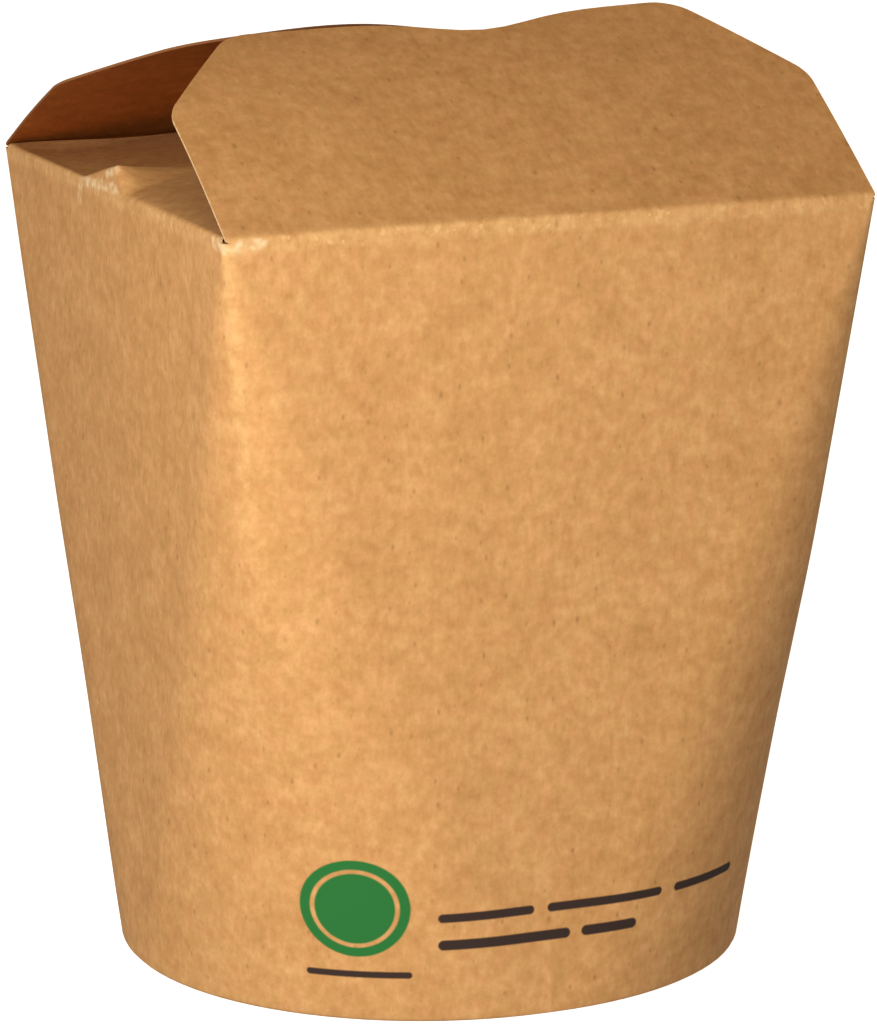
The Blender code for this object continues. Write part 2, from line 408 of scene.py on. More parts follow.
def build_side_flap(quarter_turns, flap_length, flap_slope, buckled):
    """A side flap, with buckled 1.0 for the fold that gave way and 0.0 for the sound one."""
    def upright(across):
        off = across - BUCKLE_PEAK
        side = BUCKLE_SHORT_SIDE if off > 0.0 else BUCKLE_LONG_SIDE
        return buckled * BUCKLE_RISE * max(0.0, 1.0 - abs(off) / side)

    def slope(across, length):
        behind = buckled * (1.0 - smooth_step(HOLLOW_FULL, HOLLOW_FROM, across))
        near = math.exp(-length / SIDE_SOFT_REACH) / SIDE_SOFT_REACH
        far = math.exp(-length / HOLLOW_END_REACH) / HOLLOW_END_REACH
        middle = max(0.0, 1.0 - (across / SIDE_ROOT_HALF) ** 2)
        soft = SIDE_SOFT_RISE * middle * (near + (far - near) * behind)
        off_corner = smooth_step(0.0, HOLLOW_FREE_CORNER, SIDE_ROOT_HALF - abs(across))
        dip = math.exp(-length / HOLLOW_REACH) / HOLLOW_REACH
        hollow = HOLLOW_DEPTH * behind * off_corner * (dip - far)
        past = max(0.0, length - upright(across))
        sink = upright(across) / BUCKLE_SINK_REACH * math.exp(-past / BUCKLE_SINK_REACH)
        return flap_slope + math.atan(soft - hollow - sink)

    bm = cut_flap(
        SIDE_ROOT_HALF, SIDE_ROOT_HALF, SIDE_SHOULDER_HALF_WIDTH, SIDE_CROWN_HALF_WIDTH,
        lambda across: flap_length + upright(across),
    )
    return fold_flap(bm, quarter_turns, slope, lambda across, length: 0.0, upright)


def build_blank():
    """Wall and flaps as one sheet, welded where each flap leaves the rim."""
    sheet = build_wall()
    for flap in (
        build_front_flap(),
        build_side_flap(1, RIGHT_LENGTH, RIGHT_SLOPE, 0.0),
        build_back_flap(),
        build_side_flap(3, LEFT_LENGTH, LEFT_SLOPE, 1.0),
    ):
        carrier = bpy.data.meshes.new("flap")
        flap.to_mesh(carrier)
        flap.free()
        sheet.from_mesh(carrier)
        bpy.data.meshes.remove(carrier)
    bmesh.ops.remove_doubles(sheet, verts=sheet.verts, dist=WELD_REACH)
    bmesh.ops.recalc_face_normals(sheet, faces=sheet.faces)
    furthest_right = max(sheet.faces, key=lambda face: face.calc_center_median().x)
    if furthest_right.normal.x < 0.0:
        bmesh.ops.reverse_faces(sheet, faces=sheet.faces)
    return sheet


def make_piece(name, bm, materials):
    """An object of the finished mesh, standing at the origin."""
    mesh = bpy.data.meshes.new(name)
    bm.to_mesh(mesh)
    bm.free()
    for material in materials:
        mesh.materials.append(material)
    piece = bpy.data.objects.new(name, mesh)
    bpy.context.scene.collection.objects.link(piece)
    return piece


def give_thickness(piece, thickness):
    """Thickens the sheet inwards, with its own finish inside and along the cut edges."""
    solid = piece.modifiers.new("board", "SOLIDIFY")
    solid.thickness = thickness
    solid.offset = -1.0
    solid.use_even_offset = True
    solid.material_offset = 1
    solid.material_offset_rim = 2
    ready = piece.evaluated_get(bpy.context.evaluated_depsgraph_get())
    mesh = bpy.data.meshes.new_from_object(ready)
    piece.modifiers.clear()
    flat = piece.data
    piece.data = mesh
    bpy.data.meshes.remove(flat)
    mesh.name = piece.name
    mesh.shade_smooth()
    mesh.set_sharp_from_angle(angle=SHARP_ANGLE)


def linear(code):
    """A colour given as sRGB hex, as the linear RGBA that a shader takes."""
    channels = [int(code[place:place + 2], 16) / 255 for place in (1, 3, 5)]
    return [c / 12.92 if c <= 0.04045 else ((c + 0.055) / 1.055) ** 2.4 for c in channels] + [1.0]


def add_node(material, kind, inputs=None, **settings):
    """Adds a node, sets its settings, and sets or links its inputs."""
    node = material.node_tree.nodes.new(kind)
    for name, value in settings.items():
        setattr(node, name, value)
    for name, value in (inputs or {}).items():
        if isinstance(value, bpy.types.NodeSocket):
            material.node_tree.links.new(value, node.inputs[name])
        else:
            node.inputs[name].default_value = value
    return node


def new_material(name, roughness):
    """A material named for the real stuff, and its shader."""
    material = bpy.data.materials.new(name)
    material.use_nodes = True
    shader = material.node_tree.nodes["Principled BSDF"]
    shader.inputs["Roughness"].default_value = roughness
    return material, shader


# Unbleached kraft: mottled pulp, fibres along the grain, dark specks of bark
CLOUD_MM = 8.0
BLOTCH_MM = 2.3
TINT_MM = 3.0
GRAIN_WIDTH_MM = 0.9
GRAIN_LENGTH_MM = 1.9
SPECK_ACROSS_MM = 3.4
SPECK_ALONG_MM = 5.6
SPECK_SHARE = 0.12
SPECK_SOFT = 0.11
SPECK_STRENGTH = 0.45
BLOTCH_WEIGHT = 0.62
GRAIN_WEIGHT = 0.26
DARK_AT = 0.33
LIGHT_AT = 0.67
PULP_PINK = "#FFF6FA"
PINK_STRENGTH = 0.6
UNIT_MM = BLANK_UNIT / MM


def kraft_colour(material, place, dark, middle, light, speck):
    """Colour of kraft board at a place on the blank, and its tone, which also gives its relief."""
    cloud = add_node(material, "ShaderNodeTexNoise", {
        "Vector": place, "Scale": UNIT_MM / CLOUD_MM, "Detail": 3.0, "Roughness": 0.62,
    }, noise_dimensions="2D")
    blotch = add_node(material, "ShaderNodeTexNoise", {
        "Vector": place, "Scale": UNIT_MM / BLOTCH_MM, "Detail": 4.0, "Roughness": 0.68,
    }, noise_dimensions="2D")
    stretched = add_node(material, "ShaderNodeMapping", {
        "Vector": place, "Scale": (UNIT_MM / GRAIN_WIDTH_MM, UNIT_MM / GRAIN_LENGTH_MM, 1.0),
    })
    grain = add_node(material, "ShaderNodeTexNoise", {
        "Vector": stretched.outputs["Vector"], "Scale": 1.0, "Detail": 2.5, "Roughness": 0.65,
    }, noise_dimensions="2D")
    cloud_blotch = add_node(material, "ShaderNodeMix", {
        0: BLOTCH_WEIGHT, 2: cloud.outputs["Fac"], 3: blotch.outputs["Fac"],
    }, data_type="FLOAT")
    tone = add_node(material, "ShaderNodeMix", {
        0: GRAIN_WEIGHT, 2: cloud_blotch.outputs[0], 3: grain.outputs["Fac"],
    }, data_type="FLOAT")
    ramp = add_node(material, "ShaderNodeValToRGB", {"Fac": tone.outputs[0]})
    ramp.color_ramp.elements[0].position = DARK_AT
    ramp.color_ramp.elements[0].color = linear(dark)
    ramp.color_ramp.elements[1].position = LIGHT_AT
    ramp.color_ramp.elements[1].color = linear(light)
    halfway = ramp.color_ramp.elements.new(0.5)
    halfway.color = linear(middle)
    tint = add_node(material, "ShaderNodeTexNoise", {
        "Vector": place, "Scale": UNIT_MM / TINT_MM, "Detail": 2.0, "Roughness": 0.6,
    }, noise_dimensions="2D")
    pinkness = add_node(material, "ShaderNodeMapRange", {
        "Value": tint.outputs["Fac"], "From Min": 0.4, "From Max": 0.6, "To Max": PINK_STRENGTH,
    })
    tinted = add_node(material, "ShaderNodeMix", {
        0: pinkness.outputs["Result"], 6: ramp.outputs["Color"], 7: linear(PULP_PINK),
    }, data_type="RGBA", blend_type="MULTIPLY")
    along_grain = add_node(material, "ShaderNodeMapping", {
        "Vector": place, "Scale": (UNIT_MM / SPECK_ACROSS_MM, UNIT_MM / SPECK_ALONG_MM, 1.0),
    })
    cells = add_node(material, "ShaderNodeTexVoronoi", {
        "Vector": along_grain.outputs["Vector"], "Scale": 1.0, "Randomness": 1.0,
    }, voronoi_dimensions="2D", feature="F1")
    kind = add_node(material, "ShaderNodeSeparateColor", {"Color": cells.outputs["Color"]})
    size = add_node(material, "ShaderNodeMath", {
        0: kind.outputs["Red"], 1: SPECK_SHARE,
    }, operation="MULTIPLY")
    inside = add_node(material, "ShaderNodeMath", {
        0: size.outputs[0], 1: cells.outputs["Distance"],
    }, operation="SUBTRACT")
    spot = add_node(material, "ShaderNodeMapRange", {
        "Value": inside.outputs[0], "From Min": 0.0, "From Max": SPECK_SOFT, "To Max": SPECK_STRENGTH,
    })
    colour = add_node(material, "ShaderNodeMix", {
        0: spot.outputs["Result"], 6: tinted.outputs[2], 7: linear(speck),
    }, data_type="RGBA")
    return colour.outputs[2], tone.outputs[0]


# Ink: the printed fields on the front panel, near its foot, in millimetres. The roundel is
# its place round the foot, its height and its radius, with the radii of its bare line. Each
# bar is its start and end round the foot, its height and its thickness.
GREEN_INK = "#1F652A"
DARK_INK = "#30211A"
FOOT_RADIUS_MM = 45.4
INK_SOFT_MM = 0.16
ROUNDEL = (-27.2, 17.2, 7.3)
ROUNDEL_LINE = (5.3, 5.9)
PRINTED_BARS = [
    (-16.3, -2.6, 15.6, 1.3),
    (-0.6, 17.2, 15.6, 1.3),
    (19.4, 32.4, 15.6, 1.3),
    (-16.3, 2.9, 11.6, 1.5),
    (4.6, 13.2, 11.6, 1.5),
    (-34.4, -19.8, 7.2, 1.0),
]


def printed_fields(material):
    """Masks of the green and the dark ink, by distance round the foot and height, in mm."""
    spot = add_node(material, "ShaderNodeTexCoord")
    axes = add_node(material, "ShaderNodeSeparateXYZ", {"Vector": spot.outputs["Object"]})
    forward = add_node(material, "ShaderNodeMath", {0: axes.outputs["Y"], 1: -1.0}, operation="MULTIPLY")
    turn = add_node(material, "ShaderNodeMath", {
        0: axes.outputs["X"], 1: forward.outputs[0],
    }, operation="ARCTAN2")
    along = add_node(material, "ShaderNodeMath", {
        0: turn.outputs[0], 1: FOOT_RADIUS_MM,
    }, operation="MULTIPLY")
    height = add_node(material, "ShaderNodeMath", {0: axes.outputs["Z"], 1: 1.0 / MM}, operation="MULTIPLY")
    flat = add_node(material, "ShaderNodeCombineXYZ", {"X": along.outputs[0], "Y": height.outputs[0]})

    def rounded_bar(centre, half, radius):
        """Mask of a bar with round ends, or of a disc where half its straight length is 0."""
        offset = add_node(material, "ShaderNodeVectorMath", {
            0: flat.outputs[0], 1: (*centre, 0.0),
        }, operation="SUBTRACT")
        mirrored = add_node(material, "ShaderNodeVectorMath", {0: offset.outputs[0]}, operation="ABSOLUTE")
        beyond = add_node(material, "ShaderNodeVectorMath", {
            0: mirrored.outputs[0], 1: (half, 0.0, 0.0),
        }, operation="SUBTRACT")
        outside = add_node(material, "ShaderNodeVectorMath", {
            0: beyond.outputs[0], 1: (0.0, 0.0, 0.0),
        }, operation="MAXIMUM")
        away = add_node(material, "ShaderNodeVectorMath", {0: outside.outputs[0]}, operation="LENGTH")
        return add_node(material, "ShaderNodeMapRange", {
            "Value": away.outputs["Value"],
            "From Min": radius + INK_SOFT_MM, "From Max": radius - INK_SOFT_MM,
        }, interpolation_type="SMOOTHSTEP").outputs["Result"]

    centre = ROUNDEL[:2]
    disc = rounded_bar(centre, 0.0, ROUNDEL[2])
    line_out = rounded_bar(centre, 0.0, ROUNDEL_LINE[1])
    line_in = rounded_bar(centre, 0.0, ROUNDEL_LINE[0])
    line = add_node(material, "ShaderNodeMath", {0: line_out, 1: line_in}, operation="SUBTRACT")
    green = add_node(material, "ShaderNodeMath", {0: disc, 1: line.outputs[0]}, operation="SUBTRACT")
    dark = 0.0
    for start, end, middle, thick in PRINTED_BARS:
        radius = thick / 2
        bar = rounded_bar(((start + end) / 2, middle), (end - start) / 2 - radius, radius)
        dark = add_node(material, "ShaderNodeMath", {0: dark, 1: bar}, operation="MAXIMUM").outputs[0]
    return green.outputs[0], dark


# Where folding rubbed the fibres pale, with a painted highlight there too: a band along the rim
# and a line down each crease. Where it tore them: the foot, tip and side of the left fold's
# buckle, and the rim on both sides of the front left corner
RUBBED_HIGHLIT_KRAFT = "#CFA369"
RUBBED_HIGHLIT_BAND = 1.8 * MM
RUBBED_HIGHLIT_ABOVE_FROM = 1.3 * MM
RUBBED_HIGHLIT_ABOVE_FULL = 0.4 * MM
RUBBED_HIGHLIT_LINE = 1.5 * MM
CRACK_SPACING = 1.3 * MM
RUBBED_HIGHLIT_CREASE_FROM = 62.0 * MM
RUBBED_HIGHLIT_CREASE_FULL = 84.0 * MM
RUBBED_HIGHLIT_TONES = (0.40, 0.58)
RUBBED_HIGHLIT_STRENGTHS = (0.12, 0.4)
CRACK_TONES = (0.60, 0.68)
CRACK_STRENGTH = 0.8
TORN_TONES = (0.38, 0.60)
TORN_STRENGTHS = (0.15, 0.65)
TORN_FIBRE = "#DFC498"
TORN_LINE_REACH = 1.1 * MM
TORN_JITTER = 1.2 * MM
TORN_LINES = [
    ((-47.9 * MM, 11.5 * MM, 112.6 * MM), (-47.9 * MM, -4.0 * MM, 113.6 * MM)),
    ((-47.9 * MM, 0.0, 115.4 * MM), (-47.7 * MM, -3.2 * MM, 116.0 * MM)),
    ((-47.9 * MM, 12.0 * MM, 112.6 * MM), (-47.9 * MM, 12.8 * MM, 109.6 * MM)),
    ((-47.0 * MM, -47.7 * MM, 111.8 * MM), (-42.5 * MM, -47.8 * MM, 112.4 * MM)),
    ((-47.7 * MM, -47.0 * MM, 111.8 * MM), (-47.8 * MM, -43.5 * MM, 112.4 * MM)),
]


def near_line(material, place, start, end, reach):
    """Mask of what lies within reach of a straight line, from 0 to 1."""
    run = Vector(end) - Vector(start)
    offset = add_node(material, "ShaderNodeVectorMath", {0: place, 1: start}, operation="SUBTRACT")
    along = add_node(material, "ShaderNodeVectorMath", {
        0: offset.outputs[0], 1: run / run.length_squared,
    }, operation="DOT_PRODUCT")
    held = add_node(material, "ShaderNodeClamp", {"Value": along.outputs["Value"]})
    nearest = add_node(material, "ShaderNodeVectorMath", {
        0: run, "Scale": held.outputs["Result"],
    }, operation="SCALE")
    away = add_node(material, "ShaderNodeVectorMath", {
        0: offset.outputs[0], 1: nearest.outputs[0],
    }, operation="DISTANCE")
    return add_node(material, "ShaderNodeMapRange", {
        "Value": away.outputs["Value"], "From Min": reach, "From Max": reach / 3,
    }, interpolation_type="SMOOTHSTEP").outputs["Result"]


def fold_wear_and_highlight(material, tone):
    """How far the board is rubbed pale, with a painted highlight on the rim band and crease lines, and how
    far it is torn at a place, each from 0 to 1.
    """
    spot = add_node(material, "ShaderNodeTexCoord")
    axes = add_node(material, "ShaderNodeSeparateXYZ", {"Vector": spot.outputs["Object"]})
    # Rim band and crease lines: rubbed fibres, and a painted highlight along the folds
    below = add_node(material, "ShaderNodeMapRange", {
        "Value": axes.outputs["Z"],
        "From Min": RIM_HEIGHT - RUBBED_HIGHLIT_BAND, "From Max": RIM_HEIGHT - RUBBED_HIGHLIT_BAND / 2,
    })
    above = add_node(material, "ShaderNodeMapRange", {
        "Value": axes.outputs["Z"],
        "From Min": RIM_HEIGHT + RUBBED_HIGHLIT_ABOVE_FROM, "From Max": RIM_HEIGHT + RUBBED_HIGHLIT_ABOVE_FULL,
    })
    band = add_node(material, "ShaderNodeMath", {
        0: below.outputs["Result"], 1: above.outputs["Result"],
    }, operation="MULTIPLY")
    sideways = add_node(material, "ShaderNodeMath", {0: axes.outputs["X"]}, operation="ABSOLUTE")
    forward = add_node(material, "ShaderNodeMath", {0: axes.outputs["Y"]}, operation="ABSOLUTE")
    difference = add_node(material, "ShaderNodeMath", {
        0: sideways.outputs[0], 1: forward.outputs[0],
    }, operation="SUBTRACT")
    off_crease = add_node(material, "ShaderNodeMath", {0: difference.outputs[0]}, operation="ABSOLUTE")
    line = add_node(material, "ShaderNodeMapRange", {
        "Value": off_crease.outputs[0], "From Min": RUBBED_HIGHLIT_LINE * 1.6, "From Max": RUBBED_HIGHLIT_LINE * 0.4,
    }, interpolation_type="SMOOTHSTEP")
    height = add_node(material, "ShaderNodeMapRange", {
        "Value": axes.outputs["Z"], "From Min": RUBBED_HIGHLIT_CREASE_FROM, "From Max": RUBBED_HIGHLIT_CREASE_FULL,
    })
    crease_above = add_node(material, "ShaderNodeMath", {
        0: line.outputs["Result"], 1: height.outputs["Result"],
    }, operation="MULTIPLY")
    crease = add_node(material, "ShaderNodeMath", {
        0: crease_above.outputs[0], 1: above.outputs["Result"],
    }, operation="MULTIPLY")
    folds = add_node(material, "ShaderNodeMath", {
        0: band.outputs[0], 1: crease.outputs[0],
    }, operation="MAXIMUM")
    patchy = add_node(material, "ShaderNodeMapRange", {
        "Value": tone, "From Min": RUBBED_HIGHLIT_TONES[0], "From Max": RUBBED_HIGHLIT_TONES[1],
        "To Min": RUBBED_HIGHLIT_STRENGTHS[0], "To Max": RUBBED_HIGHLIT_STRENGTHS[1],
    })
    rubbed = add_node(material, "ShaderNodeMath", {
        0: folds.outputs[0], 1: patchy.outputs["Result"],
    }, operation="MULTIPLY")
    fibres = add_node(material, "ShaderNodeTexNoise", {
        "Vector": spot.outputs["Object"], "Scale": 1.0 / CRACK_SPACING, "Detail": 1.0,
    })
    cracks = add_node(material, "ShaderNodeMapRange", {
        "Value": fibres.outputs["Fac"], "From Min": CRACK_TONES[0], "From Max": CRACK_TONES[1],
        "To Max": CRACK_STRENGTH,
    })
    cracked = add_node(material, "ShaderNodeMath", {
        0: band.outputs[0], 1: cracks.outputs["Result"],
    }, operation="MULTIPLY")
    worn_and_highlit = add_node(material, "ShaderNodeMath", {
        0: rubbed.outputs[0], 1: cracked.outputs[0],
    }, operation="MAXIMUM")
    shake = add_node(material, "ShaderNodeVectorMath", {
        0: fibres.outputs["Color"], 1: (0.5, 0.5, 0.5),
    }, operation="SUBTRACT")
    ragged = add_node(material, "ShaderNodeVectorMath", {
        0: shake.outputs[0], 1: (TORN_JITTER, TORN_JITTER, TORN_JITTER), 2: spot.outputs["Object"],
    }, operation="MULTIPLY_ADD")
    torn = 0.0
    for start, end in TORN_LINES:
        line = near_line(material, ragged.outputs[0], start, end, TORN_LINE_REACH)
        torn = add_node(material, "ShaderNodeMath", {0: torn, 1: line}, operation="MAXIMUM").outputs[0]
    broken = add_node(material, "ShaderNodeMapRange", {
        "Value": fibres.outputs["Fac"], "From Min": TORN_TONES[0], "From Max": TORN_TONES[1],
        "To Min": TORN_STRENGTHS[0], "To Max": TORN_STRENGTHS[1],
    })
    torn = add_node(material, "ShaderNodeMath", {
        0: torn, 1: broken.outputs["Result"],
    }, operation="MULTIPLY").outputs[0]
    return worn_and_highlit.outputs[0], torn


# Board colours: dark, middle and light pulp, and specks
OUTSIDE_KRAFT = ("#AB7B44", "#BA8951", "#C99860", "#6E4826")
# The inside's colours are painted deeper than the outside's, as painted shade
INSIDE_KRAFT_SHADED = ("#7C3D0E", "#8A4613", "#98511B", "#52290F")


def kraft_outside():
    """Uncoated face of the board: matt, mottled, rubbed pale along its folds with a painted highlight there,
    and printed.
    """
    material, shader = new_material("kraft_board_uncoated", 0.82)
    place = add_node(material, "ShaderNodeUVMap", uv_map="blank").outputs["UV"]
    colour, tone = kraft_colour(material, place, *OUTSIDE_KRAFT)
    worn_and_highlit, torn = fold_wear_and_highlight(material, tone)
    # Painted highlight and rubbed fibres: the pale band along the rim and the pale crease lines
    colour = add_node(material, "ShaderNodeMix", {
        0: worn_and_highlit, 6: colour, 7: linear(RUBBED_HIGHLIT_KRAFT),
    }, data_type="RGBA").outputs[2]
    colour = add_node(material, "ShaderNodeMix", {
        0: torn, 6: colour, 7: linear(TORN_FIBRE),
    }, data_type="RGBA").outputs[2]
    green, dark = printed_fields(material)
    inked = add_node(material, "ShaderNodeMix", {0: green, 6: colour, 7: linear(GREEN_INK)}, data_type="RGBA")
    inked = add_node(material, "ShaderNodeMix", {
        0: dark, 6: inked.outputs[2], 7: linear(DARK_INK),
    }, data_type="RGBA")
    bump = add_node(material, "ShaderNodeBump", {"Height": tone, "Strength": 0.5, "Distance": 0.05 * MM})
    links = material.node_tree.links
    links.new(inked.outputs[2], shader.inputs["Base Color"])
    links.new(bump.outputs["Normal"], shader.inputs["Normal"])
    shader.inputs["Specular IOR Level"].default_value = 0.25
    return material


def kraft_inside():
    """Coated face of the board: the same pulp, a little glossy under its film, and deeper in colour as
    painted shade.
    """
    material, shader = new_material("kraft_board_coated", 0.6)
    shader.inputs["Specular IOR Level"].default_value = 0.2
    place = add_node(material, "ShaderNodeUVMap", uv_map="blank").outputs["UV"]
    colour, tone = kraft_colour(material, place, *INSIDE_KRAFT_SHADED)
    links = material.node_tree.links
    links.new(colour, shader.inputs["Base Color"])
    bump = add_node(material, "ShaderNodeBump", {"Height": tone, "Strength": 0.3, "Distance": 0.04 * MM})
    links.new(bump.outputs["Normal"], shader.inputs["Normal"])
    return material


# The cut edge: pale fibres in front of the box's middle, and from there back painted darker brown as painted
# shade
EDGE_FIBRE = 0.5 * MM
EDGE_DARK = "#BC9060"
EDGE_LIGHT = "#D5AC7A"
EDGE_SHADED_BROWN = "#7A4A22"
EDGE_SHADE_FROM = -8.0 * MM
EDGE_SHADE_FULL = -4.0 * MM


def cut_edge():
    """Die-cut edge of the board: a thin matt line of short fibres, darkened towards the back as painted
    shade.
    """
    material, shader = new_material("kraft_board_cut_edge", 0.9)
    place = add_node(material, "ShaderNodeTexCoord").outputs["Object"]
    fibres = add_node(material, "ShaderNodeTexNoise", {
        "Vector": place, "Scale": 1.0 / EDGE_FIBRE, "Detail": 2.0,
    })
    ramp = add_node(material, "ShaderNodeValToRGB", {"Fac": fibres.outputs["Fac"]})
    ramp.color_ramp.elements[0].position = 0.35
    ramp.color_ramp.elements[0].color = linear(EDGE_DARK)
    ramp.color_ramp.elements[1].position = 0.65
    ramp.color_ramp.elements[1].color = linear(EDGE_LIGHT)
    # Painted shade: behind the box's middle the edge turns dark brown
    axes = add_node(material, "ShaderNodeSeparateXYZ", {"Vector": place})
    back = add_node(material, "ShaderNodeMapRange", {
        "Value": axes.outputs["Y"], "From Min": EDGE_SHADE_FROM, "From Max": EDGE_SHADE_FULL,
    })
    colour = add_node(material, "ShaderNodeMix", {
        0: back.outputs["Result"], 6: ramp.outputs["Color"], 7: linear(EDGE_SHADED_BROWN),
    }, data_type="RGBA")
    material.node_tree.links.new(colour.outputs[2], shader.inputs["Base Color"])
    return material


blank_piece = make_piece("folded_blank", build_blank(), [kraft_outside(), kraft_inside(), cut_edge()])
give_thickness(blank_piece, BOARD)
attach(blank_piece, "root")
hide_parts("folded_box")


# The seam's overlap
# The blank's last edge, glued over its first one down the back right corner. It is the
# same uncoated board, so all that shows is one cut edge standing a board's thickness
# proud of the wall, with the surface sinking to the wall on its other side.
LAP_WIDTH = 11.0 * MM
LAP_STEPS = 10
LAP_FOOT = 1.2 * MM
LAP_HEAD = RIM_HEIGHT - 1.2 * MM
LAP_RISE = 0.4 * MM
LAP_SUNK = 0.05 * MM


def along_ring(points, distance):
    """Point at a distance along the outline, on from the seam."""
    column = SEAM_COLUMN
    while True:
        here = points[column]
        there = points[(column + 1) % COLUMNS]
        gap = (there - here).length
        if distance <= gap:
            return here + (there - here) * (distance / gap)
        distance -= gap
        column = (column + 1) % COLUMNS


def lap_row(height):
    """The overlap's outline at a height, from its cut edge to where it meets the wall."""
    points = wall_ring(height / RIM_HEIGHT)
    row = []
    for step in range(LAP_STEPS + 1):
        share = step / LAP_STEPS
        point = along_ring(points, LAP_WIDTH * share)
        proud = LAP_RISE + (LAP_SUNK - LAP_RISE) * share
        row.append(wave_wall(point, height) + point.normalized() * proud)
    return row


def build_lap():
    """The overlap: a row of edges extruded from its foot up to the rim."""
    bm = bmesh.new()
    blank = bm.loops.layers.uv.new("blank")
    between = [height for height in WALL_HEIGHTS if LAP_FOOT < height < LAP_HEAD]
    heights = [LAP_FOOT] + between + [LAP_HEAD]
    row = [bm.verts.new((point.x, point.y, heights[0])) for point in lap_row(heights[0])]
    places = {vert: (step * LAP_WIDTH / LAP_STEPS, heights[0]) for step, vert in enumerate(row)}
    edges = [bm.edges.new(pair) for pair in zip(row, row[1:])]
    for height in heights[1:]:
        grown = bmesh.ops.extrude_edge_only(bm, edges=edges)["geom"]
        fresh = {part for part in grown if isinstance(part, bmesh.types.BMVert)}
        row = [grown_from(vert, fresh) for vert in row]
        edges = [bm.edges.get(pair) for pair in zip(row, row[1:])]
        for step, (vert, point) in enumerate(zip(row, lap_row(height))):
            vert.co = (point.x, point.y, height)
            places[vert] = (step * LAP_WIDTH / LAP_STEPS, height)
    for face in bm.faces:
        for loop in face.loops:
            loop[blank].uv = Vector(places[loop.vert]) / BLANK_UNIT
    bmesh.ops.recalc_face_normals(bm, faces=bm.faces)
    middle = next(iter(bm.faces))
    if middle.normal.dot(middle.calc_center_median()) < 0.0:
        bmesh.ops.reverse_faces(bm, faces=bm.faces)
    return bm


lap_piece = make_piece("seam_overlap", build_lap(), list(blank_piece.data.materials))
give_thickness(lap_piece, BOARD)
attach(lap_piece, "root")


# The base disc
# A flat round of the same board set up inside the hem. Its solid is kept as it is.
DISC_KRAFT = ("#A37544", "#B48450", "#C59661", "#74502C")


def kraft_disc():
    """Uncoated kraft all over the base disc, laid out by its place in the box."""
    material, shader = new_material("kraft_base_board", 0.82)
    spot = add_node(material, "ShaderNodeTexCoord")
    place = add_node(material, "ShaderNodeMapping", {
        "Vector": spot.outputs["Object"], "Scale": (1 / BLANK_UNIT, 1 / BLANK_UNIT, 1 / BLANK_UNIT),
    }).outputs["Vector"]
    colour, tone = kraft_colour(material, place, *DISC_KRAFT)
    links = material.node_tree.links
    links.new(colour, shader.inputs["Base Color"])
    bump = add_node(material, "ShaderNodeBump", {"Height": tone, "Strength": 0.5, "Distance": 0.05 * MM})
    links.new(bump.outputs["Normal"], shader.inputs["Normal"])
    return material


base_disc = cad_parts["base_disc"]
base_disc.data.materials.clear()
base_disc.data.materials.append(kraft_disc())


# Table, light and camera
# A white lit table that goes on past the picture, a large soft light from the front left,
# low down, and pale walls all round. The camera stands where the photographer stood.
TABLE_RADIUS = 4.0
TABLE_STEPS = 96
TABLE_DROP = 0.1 * MM
TABLE_GLOW = 0.86
KEY_AZIMUTH = -39.0 * DEG
KEY_ELEVATION = 12.0 * DEG
KEY_DISTANCE = 0.38
KEY_POWER = 1.52
KEY_SIZE = 0.18
STUDIO_BELOW = 0.54
STUDIO_HORIZON = 1.0
STUDIO_ABOVE = 0.37
STUDIO_CEILING = "#FFE5C2"
# How far up or down a direction points, from -1 to 1, where the studio's parts meet
BOUNCE_EDGE = (-0.06, -0.01)
CEILING_EDGE = (0.06, 0.16)
AIM = Vector((0.0, 0.0, 60.0 * MM))


def table_white():
    """White acrylic lit from below, an even white."""
    material, shader = new_material("white_light_table", 0.6)
    spot = add_node(material, "ShaderNodeTexCoord")
    grain = add_node(material, "ShaderNodeTexNoise", {"Vector": spot.outputs["Object"], "Scale": 30.0})
    ramp = add_node(material, "ShaderNodeValToRGB", {"Fac": grain.outputs["Fac"]})
    ramp.color_ramp.elements[0].color = linear("#F4F4F4")
    ramp.color_ramp.elements[1].color = linear("#F8F8F8")
    material.node_tree.links.new(ramp.outputs["Color"], shader.inputs["Base Color"])
    shader.inputs["Emission Color"].default_value = (1.0, 1.0, 1.0, 1.0)
    shader.inputs["Emission Strength"].default_value = TABLE_GLOW
    return material


table_bm = bmesh.new()
bmesh.ops.create_circle(table_bm, cap_ends=True, segments=TABLE_STEPS, radius=TABLE_RADIUS)
bmesh.ops.translate(table_bm, verts=table_bm.verts, vec=(0.0, 0.0, -TABLE_DROP))
table = make_piece("table", table_bm, [table_white()])
# The photo's surround is whiter than the light it throws on the box, so the box's board
# isn't lit by the table, and the lower part of the studio gives the dimmer bounce
table.visible_diffuse = False
table.visible_glossy = False


def toward(azimuth, elevation):
    """Direction from the box, with azimuth 0 at the front."""
    return Vector((
        math.sin(azimuth) * math.cos(elevation),
        -math.cos(azimuth) * math.cos(elevation),
        math.sin(elevation),
    ))


key_light = bpy.data.lights.new("key_light", "AREA")
key_light.shape = "SQUARE"
key_light.size = KEY_SIZE
key_light.energy = KEY_POWER
key = bpy.data.objects.new("key_light", key_light)
key.location = AIM + toward(KEY_AZIMUTH, KEY_ELEVATION) * KEY_DISTANCE
key.rotation_euler = (AIM - key.location).to_track_quat("-Z", "Y").to_euler()
bpy.context.scene.collection.objects.link(key)

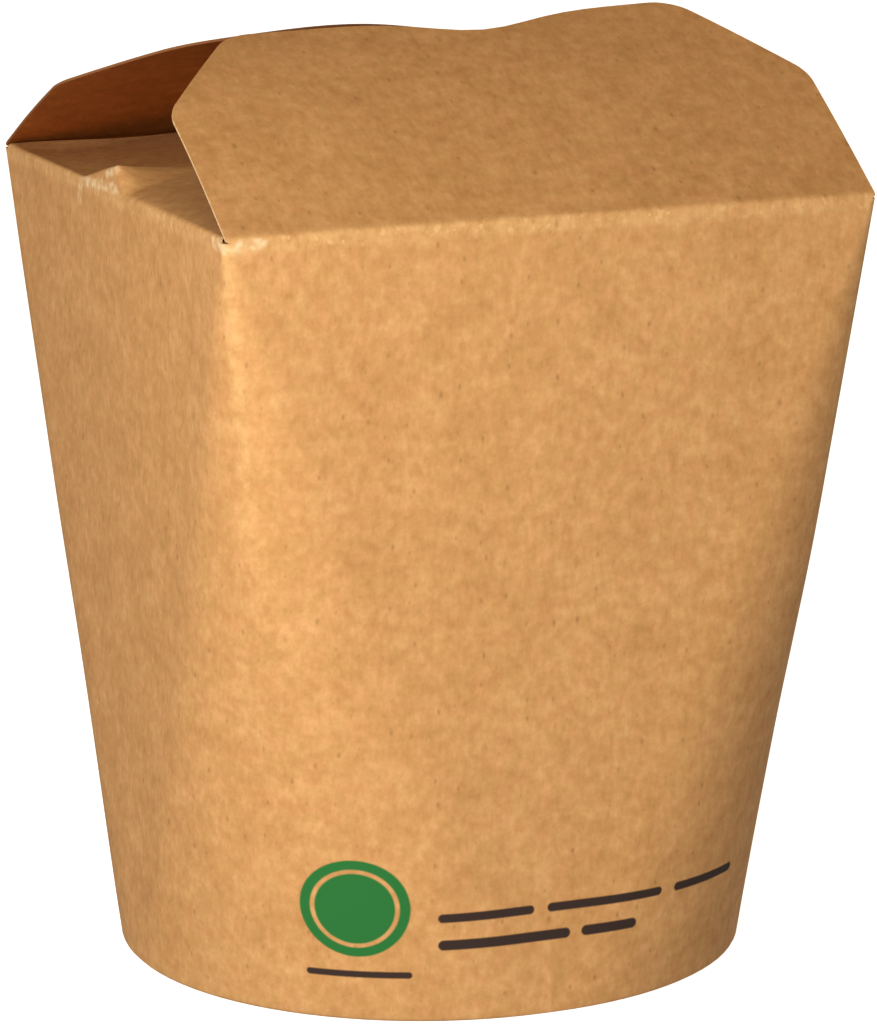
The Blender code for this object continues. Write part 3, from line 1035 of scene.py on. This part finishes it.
world = bpy.data.worlds.new("pale_studio")
world.use_nodes = True
bpy.context.scene.world = world
studio = world.node_tree.nodes["Background"]
heading = world.node_tree.nodes.new("ShaderNodeTexCoord")
split = world.node_tree.nodes.new("ShaderNodeSeparateXYZ")
rising = world.node_tree.nodes.new("ShaderNodeMapRange")
rising.interpolation_type = "SMOOTHSTEP"
rising.inputs["From Min"].default_value = BOUNCE_EDGE[0]
rising.inputs["From Max"].default_value = BOUNCE_EDGE[1]
rising.inputs["To Min"].default_value = STUDIO_BELOW
rising.inputs["To Max"].default_value = STUDIO_HORIZON
falling = world.node_tree.nodes.new("ShaderNodeMapRange")
falling.interpolation_type = "SMOOTHSTEP"
falling.inputs["From Min"].default_value = CEILING_EDGE[0]
falling.inputs["From Max"].default_value = CEILING_EDGE[1]
falling.inputs["To Max"].default_value = STUDIO_ABOVE
world.node_tree.links.new(heading.outputs["Generated"], split.inputs[0])
world.node_tree.links.new(split.outputs["Z"], rising.inputs["Value"])
world.node_tree.links.new(split.outputs["Z"], falling.inputs["Value"])
world.node_tree.links.new(rising.outputs["Result"], falling.inputs["To Min"])
world.node_tree.links.new(falling.outputs["Result"], studio.inputs["Strength"])
# The ceiling is warmer than the walls
warming = world.node_tree.nodes.new("ShaderNodeMapRange")
warming.inputs["From Min"].default_value = CEILING_EDGE[0]
warming.inputs["From Max"].default_value = CEILING_EDGE[1]
tone = world.node_tree.nodes.new("ShaderNodeMix")
tone.data_type = "RGBA"
tone.inputs[6].default_value = (1.0, 1.0, 1.0, 1.0)
tone.inputs[7].default_value = linear(STUDIO_CEILING)
world.node_tree.links.new(split.outputs["Z"], warming.inputs["Value"])
world.node_tree.links.new(warming.outputs["Result"], tone.inputs[0])
world.node_tree.links.new(tone.outputs[2], studio.inputs["Color"])
bpy.context.scene.view_settings.view_transform = "Standard"

CAMERA_AZIMUTH = -22.25 * DEG
CAMERA_ELEVATION = 12.60 * DEG
CAMERA_ROLL = -0.27 * DEG
CAMERA_DISTANCE = 0.726
CAMERA_FOCUS = 4981.0
PICTURE_LONG_SIDE = 1024
SENSOR = 36.0
AIM_HEIGHT = 50.0 * MM
AIM_RIGHT = 1.7 * MM
AIM_UP = 12.3 * MM

away = toward(CAMERA_AZIMUTH, CAMERA_ELEVATION)
level_right = (-away).cross(Vector((0.0, 0.0, 1.0))).normalized()
level_up = level_right.cross(-away)
aim = Vector((0.0, 0.0, AIM_HEIGHT)) + level_right * AIM_RIGHT + level_up * AIM_UP
right = level_right * math.cos(CAMERA_ROLL) + level_up * math.sin(CAMERA_ROLL)
up = level_up * math.cos(CAMERA_ROLL) - level_right * math.sin(CAMERA_ROLL)
camera_data = bpy.data.cameras.new("camera")
camera_data.sensor_width = SENSOR
camera_data.lens = CAMERA_FOCUS / PICTURE_LONG_SIDE * SENSOR
camera = bpy.data.objects.new("camera", camera_data)
facing = Matrix((right, up, away)).transposed().to_4x4()
camera.matrix_world = Matrix.Translation(aim + away * CAMERA_DISTANCE) @ facing
bpy.context.scene.collection.objects.link(camera)
bpy.context.scene.camera = camera
